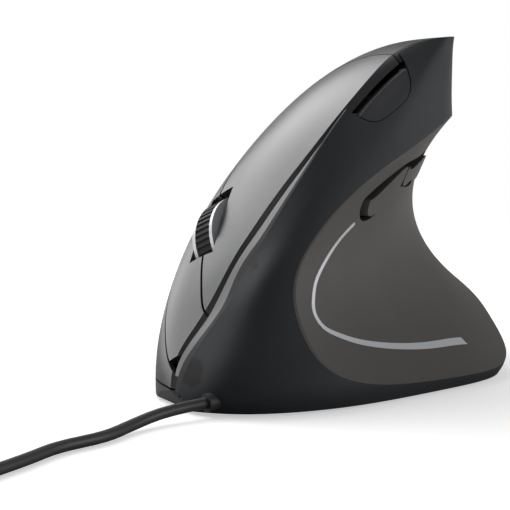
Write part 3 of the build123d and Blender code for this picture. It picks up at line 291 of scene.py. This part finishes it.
def off_shaded_lip(tree, spot):
    """Nought on the lip along the ridge, where the painted shade goes, and one on the rest of the thumb
    side.
    """
    facing = add_node(tree, "ShaderNodeNewGeometry").outputs["Normal"]
    sideways = add_node(tree, "ShaderNodeSeparateXYZ", Vector=facing).outputs["X"]
    height = add_node(tree, "ShaderNodeSeparateXYZ", Vector=spot).outputs["Z"]
    turn = add_node(
        tree, "ShaderNodeMapRange", Value=height, From_Min=lip_low * mm, From_Max=lip_high * mm,
        To_Min=lip_turn_low, To_Max=lip_turn_high,
    )
    past = add_node(tree, "ShaderNodeMath", {"operation": "SUBTRACT"}, (sideways, turn))
    return add_node(
        tree, "ShaderNodeMapRange", smooth, Value=past, From_Min=lip_fade_low, From_Max=lip_fade_high,
    )


print("thumb rest starts at", scoop_start, "mm")

# %% Soft-touch paint with painted shade and painted light
# The black on the lip along the ridge is painted shade, not the paint's own colour.
lip_painted_shade = chart_colour("030304")
panel_grey = chart_colour("323437")
# The paler warm grey is painted light, in the thumb rest and on the thumb buttons.
painted_light_grey = "605E5B"


def thumb_paint_and_painted_light(tree):
    """Black painted shade on the lip, dark grey on the panel, warm grey painted light in the thumb rest.
    """
    spot = add_node(tree, "ShaderNodeTexCoord").outputs["Object"]
    lit_rest = in_scoop(tree, spot)
    panel_and_lit_rest = add_node(
        tree, "ShaderNodeMixRGB", Fac=lit_rest, Color1=panel_grey, Color2=chart_colour(painted_light_grey),
    )
    return add_node(tree, "ShaderNodeMixRGB", Fac=off_shaded_lip(tree, spot), Color1=lip_painted_shade, Color2=panel_and_lit_rest)


# Soft-touch paint is a sprayed rubbery coat: it scatters light evenly, with hardly a highlight.
soft_touch = surface(
    "soft_touch_paint", thumb_paint_and_painted_light, grain_mm=0.5, grain_depth=0.2, roughness=0.6,
    IOR=1.45, Specular_IOR_Level=0.35, Sheen_Weight=0.05,
)
dress(soft_touch, "thumb_side_shell")
# The thumb buttons carry the same paint in the thumb rest's warm grey of painted light, rubbed a little
# smoother by the thumb.
thumb_button = surface(
    "soft_touch_button_paint", painted_light_grey, grain_mm=0.5, grain_depth=0.2, roughness=0.55, IOR=1.45,
)
dress(thumb_button, "forward_button", "back_button")

# %% [markdown]
# The finger side, the seam trim and the base are black ABS sprayed with a satin lacquer. In the
# photograph they look dark where they mirror a dark room and nearly white at a flat angle. Painting that
# shading on would be wrong from any other side, so a low roughness under a soft clear coat makes it, as
# the real lacquer does.

# %% Covers
# Satin lacquer, sprayed and dried: a broad soft highlight over a deep black.
lacquer = surface(
    "satin_lacquered_abs", "2B2C2F", grain_mm=0.3, grain_depth=0.06, roughness=0.38,
    IOR=1.5, Coat_Weight=0.4, Coat_Roughness=0.3,
)
dress(lacquer, "palm_shell", "left_button", "right_button", "seam_trim", "base_shell")
# Black ABS as it leaves the mould: duller, with the mould's own grain.
matte_black = surface(
    "moulded_black_abs", "1B1B1D", grain_mm=0.5, grain_depth=0.25, roughness=0.5, IOR=1.5,
)
dress(matte_black, "inner_frame", "wheel_carrier", "wheel_support", "plug_tongue")
# The resolution button comes from a finely textured mould, so it is nearly as dull as the paint beside it.
panel_button = surface(
    "textured_button_abs", "303134", grain_mm=0.4, grain_depth=0.2, roughness=0.5, IOR=1.5,
)
dress(panel_button, "resolution_button")

# %% [markdown]
# The strip in the scoop and the wheel's rims are the only bright pieces that show, so they lead the eye.
# The tyre, the cord and the feet are all dark and could share one material, but each is made otherwise
# and takes the light its own way, so each has its own recipe.

# %% Trim, wheel and cord
# Silver paint on ABS: fine metal flakes in a clear binder, half mirror and half white.
silver = surface(
    "silver_coated_abs", "E8EAEE", grain_mm=0.3, grain_depth=0.05, roughness=0.35,
    Metallic=0.3, IOR=1.5,
)
dress(silver, "thumb_strip", "wheel_hub")
# Moulded rubber: dull and a little rough, so that the finger grips it.
tyre_rubber = surface(
    "moulded_wheel_rubber", "2E2E30", grain_mm=0.4, grain_depth=0.2, roughness=0.7, IOR=1.52,
)
dress(tyre_rubber, "wheel_tyre")
# Extruded soft PVC: smoother along its length than rubber, with a faint shine.
cable_jacket = surface(
    "pvc_cable_jacket", "3A3A3C", grain_mm=0.6, grain_depth=0.1, roughness=0.5, IOR=1.53,
)
dress(cable_jacket, "cable_grommet", "plug_grip")
cord_data.materials.append(cable_jacket)
# A slick fluorine plastic, cut from sheet: smooth, with the low index of refraction of its kind.
foot_plastic = surface(
    "slick_foot_plastic", "3A3A3C", grain_mm=0.3, grain_depth=0.05, roughness=0.2, IOR=1.36,
)
dress(foot_plastic, "front_foot", "rear_foot")

# %% [markdown]
# Inside sit the usual parts, which show only when a cover moves. They could be left grey, but a part that
# is opened or turned around should still look right, so each gets the plain recipe of its real material.

# %% Inner parts
# Steel plated with nickel: a clear, slightly blurred mirror.
steel = surface(
    "plated_steel", "B8B8BA", grain_mm=0.2, grain_depth=0.05, roughness=0.3, Metallic=1.0,
)
dress(steel, "plug_shell", "button_hinge_pins", "wheel_pivot_pin", "board_screws", "housing_screws")
# Glass-fibre board under a green solder mask, which is printed on and glossy.
board = surface(
    "green_circuit_board", "1E5B34", grain_mm=0.3, grain_depth=0.05, roughness=0.35, IOR=1.5,
)
dress(board, "button_board", "main_board", "side_board", "resolution_board")
# Switch and chip bodies, moulded in hard black plastic: even and half glossy.
part_black = surface(
    "moulded_part_black", "202022", grain_mm=0.3, grain_depth=0.1, roughness=0.4, IOR=1.5,
)
dress(
    part_black, "left_switch", "right_switch", "wheel_switch", "forward_switch", "back_switch",
    "resolution_switch", "wheel_encoder", "processor", "optical_sensor",
)
# Plungers and the socket, moulded in natural nylon: milky white.
part_pale = surface(
    "moulded_part_pale", "E4E2DC", grain_mm=0.3, grain_depth=0.05, roughness=0.4, IOR=1.5,
)
dress(
    part_pale, "left_switch_plunger", "right_switch_plunger", "wheel_switch_plunger",
    "forward_switch_plunger", "back_switch_plunger", "resolution_switch_plunger", "cable_socket",
)
# The lens and the light's dome, moulded in clear acrylic: polished, and bright at the edges.
lens_clear = surface(
    "clear_moulded_acrylic", "FFFFFF", grain_mm=2.0, grain_depth=0.01, roughness=0.03,
    IOR=1.49, Transmission_Weight=1.0,
)
dress(lens_clear, "sensor_lens", "sensor_light")

# %% [markdown]
# The mouse stands on white paper without an edge. A curved backdrop would need light of its own, so here
# a flat matte floor lies under a white sky. To the camera the floor glows a little, so that it reads as
# white, while the mouse still drops its soft shadow on it. Light that only bounces off the floor finds
# it greyer, which keeps the sides of the mouse dark, and far away the floor turns into plain white.

# %% Floor
floor_half = 3.0
lit_reach = 0.1
white_reach = 0.35
floor_glow = 0.5
paper = bpy.data.materials.new("pale_floor")
tree = empty_tree(paper)
bounce = add_node(tree, "ShaderNodeBsdfDiffuse", Color=chart_colour("A0A0A0"))
matte = add_node(tree, "ShaderNodeBsdfDiffuse", Color=chart_colour("FAFAFA"))
glow = add_node(tree, "ShaderNodeEmission", Strength=floor_glow)
seen = add_node(tree, "ShaderNodeAddShader", inputs=(matte, glow))
direct = add_node(tree, "ShaderNodeLightPath").outputs["Is Camera Ray"]
near = add_node(tree, "ShaderNodeMixShader", inputs=(direct, bounce, seen))
spot = add_node(tree, "ShaderNodeTexCoord").outputs["Object"]
reach = add_node(tree, "ShaderNodeVectorMath", {"operation": "LENGTH"}, (spot,)).outputs["Value"]
far = add_node(tree, "ShaderNodeMapRange", smooth, Value=reach, From_Min=lit_reach, From_Max=white_reach)
white = add_node(tree, "ShaderNodeEmission", Strength=1.0)
whole = add_node(tree, "ShaderNodeMixShader", inputs=(far, near, white))
add_node(tree, "ShaderNodeOutputMaterial", Surface=whole)
floor_mesh = bpy.data.meshes.new("floor")
corners = [(x * floor_half, y * floor_half, 0) for x, y in ((-1, -1), (1, -1), (1, 1), (-1, 1))]
floor_mesh.from_pydata(corners, [], [(0, 1, 2, 3)])
floor_mesh.materials.append(paper)
floor = bpy.data.objects.new("floor", floor_mesh)
bpy.context.collection.objects.link(floor)
print("floor laid, half width", floor_half, "m")

# %% [markdown]
# Product light is large and soft, so that its edges never show in the lacquer. One bare lamp would leave
# hard shadows, so square soft ones share the work. A broad lamp above on the left and one beside it light
# the finger side and throw the shadow to the right. A small low one on the left lifts the nose, and one
# low on the right brings out the thumb rest. The room is white to the camera and through the lens, and
# gives all else a faint fill.

# %% Light
middle = (0, 0, 0.035)


def soft_lamp(name, at, size, power):
    """A square area lamp aimed at the middle of the mouse."""
    data = bpy.data.lights.new(name, "AREA")
    data.shape = "SQUARE"
    data.size = size
    data.energy = power
    lamp = bpy.data.objects.new(name, data)
    bpy.context.collection.objects.link(lamp)
    lamp.location = at
    lamp.rotation_euler = (Vector(middle) - Vector(at)).to_track_quat("-Z", "Y").to_euler()
    print(name, "power", power)


soft_lamp("top_lamp", (-0.5, 0.2, 0.7), size=0.8, power=4.5)
soft_lamp("left_lamp", (-0.8, 0.3, 0.4), size=0.8, power=3.5)
soft_lamp("low_left_lamp", (-0.8, -0.35, 0.15), size=0.4, power=0.8)
soft_lamp("right_lamp", (0.8, 0.25, 0.1), size=0.5, power=3.5)

# %% Room
room_level = 0.16
world = bpy.data.worlds.new("studio")
bpy.context.scene.world = world
sky = empty_tree(world)
rays = add_node(sky, "ShaderNodeLightPath")
kinds = (rays.outputs["Is Camera Ray"], rays.outputs["Is Transmission Ray"])
clear = add_node(sky, "ShaderNodeMath", {"operation": "MAXIMUM"}, kinds)
level = add_node(sky, "ShaderNodeMath", {"operation": "MULTIPLY_ADD"}, (clear, 1 - room_level, room_level))
backdrop = add_node(sky, "ShaderNodeBackground", Color=chart_colour("FFFFFF"), Strength=level)
add_node(sky, "ShaderNodeOutputWorld", Surface=backdrop)
bpy.context.scene.view_settings.view_transform = "Standard"
print("room level", room_level)
